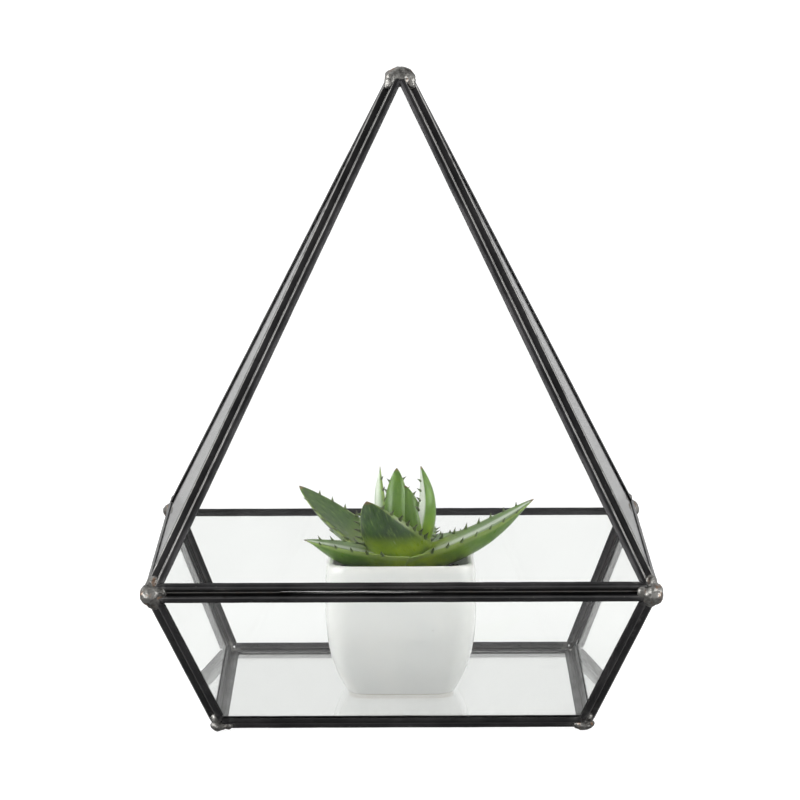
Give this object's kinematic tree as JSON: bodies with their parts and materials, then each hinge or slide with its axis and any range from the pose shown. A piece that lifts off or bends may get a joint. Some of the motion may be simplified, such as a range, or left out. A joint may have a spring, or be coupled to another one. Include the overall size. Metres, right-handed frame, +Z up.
{
  "type": "glass plant terrarium",
  "caption": "Faceted glass case in dark metal channels with soldered corners and an open back, holding a toothed aloe in a square tapered white pot.",
  "frame": {"origin": "on the floor under the middle of the case", "axes": "+Z up to the apex, +Y towards the open back, +X to the right seen from the front"},
  "size_m": [0.2239, 0.2238, 0.2812],
  "materials": {
    "channel": "black patina on folded metal channel, satin, worn lighter along the edges",
    "solder": "lumpy grey tin solder with dull skin, bright high spots and brown flux stains",
    "glass": "clear float glass with a faint green cast at its edges",
    "pot": "white glaze, smooth and softly glossy",
    "soil": "dark crumbly potting soil",
    "leaf": "fleshy green leaf, satin, yellow-green at the base and darker at the toothed margins"
  },
  "bodies": {
    "root": {"aloe": "leaf", "channel_base_back": "channel", "channel_base_front": "channel", "channel_base_left": "channel", "channel_base_right": "channel", "channel_lower_back_bottom": "channel", "channel_lower_back_left": "channel", "channel_lower_back_right": "channel", "channel_lower_back_top": "channel", "channel_lower_front_bottom": "channel", "channel_lower_front_left": "channel", "channel_lower_front_right": "channel", "channel_lower_front_top": "channel", "channel_lower_left_bottom": "channel", "channel_lower_left_left": "channel", "channel_lower_left_right": "channel", "channel_lower_left_top": "channel", "channel_lower_right_bottom": "channel", "channel_lower_right_left": "channel", "channel_lower_right_right": "channel", "channel_lower_right_top": "channel", "channel_upper_front_bottom": "channel", "channel_upper_front_left": "channel", "channel_upper_front_right": "channel", "channel_upper_left_bottom": "channel", "channel_upper_left_left": "channel", "channel_upper_left_right": "channel", "channel_upper_right_bottom": "channel", "channel_upper_right_left": "channel", "channel_upper_right_right": "channel", "glass_base": "glass", "glass_lower_back": "glass", "glass_lower_front": "glass", "glass_lower_left": "glass", "glass_lower_right": "glass", "glass_upper_front": "glass", "glass_upper_left": "glass", "glass_upper_right": "glass", "pot": "pot", "soil": "soil", "solder_apex": "solder", "solder_base_back_right": "solder", "solder_base_front_left": "solder", "solder_base_left_back": "solder", "solder_base_right_front": "solder", "solder_rim_back_right": "solder", "solder_rim_front_left": "solder", "solder_rim_left_back": "solder", "solder_rim_right_front": "solder"}
  },
  "joints": []
}
